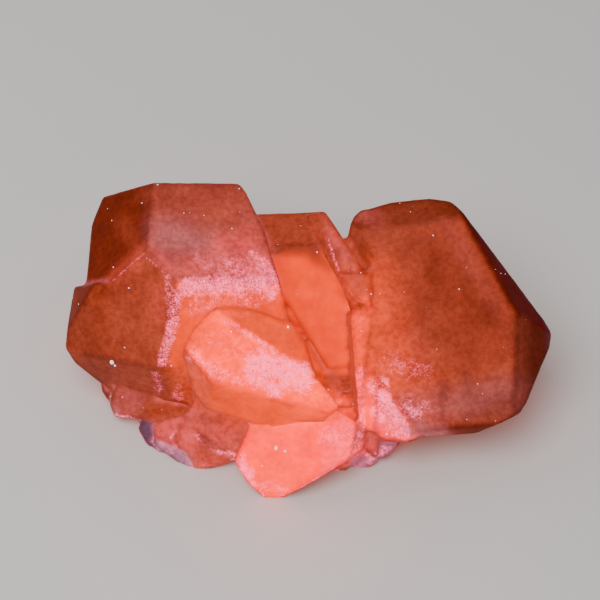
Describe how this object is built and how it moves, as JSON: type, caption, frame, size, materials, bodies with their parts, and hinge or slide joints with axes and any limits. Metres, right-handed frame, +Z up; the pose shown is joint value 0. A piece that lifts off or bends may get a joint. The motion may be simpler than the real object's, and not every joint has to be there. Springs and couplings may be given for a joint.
{
  "type": "calcite cluster",
  "caption": "Cluster of blocky orange calcite crystals grown together, cut flat below so that it rests on a shelf or table.",
  "frame": {"origin": "middle of the bounding box, at the flat cut underneath", "axes": "+X along the cluster's length to the right, +Y to the back, +Z up"},
  "size_m": [0.098, 0.0642, 0.0421],
  "materials": {
    "calcite": "natural crystal faces, part glossy and part frosted, orange and dimly translucent"
  },
  "bodies": {
    "root": {"calcite_cluster": "calcite"}
  },
  "joints": []
}
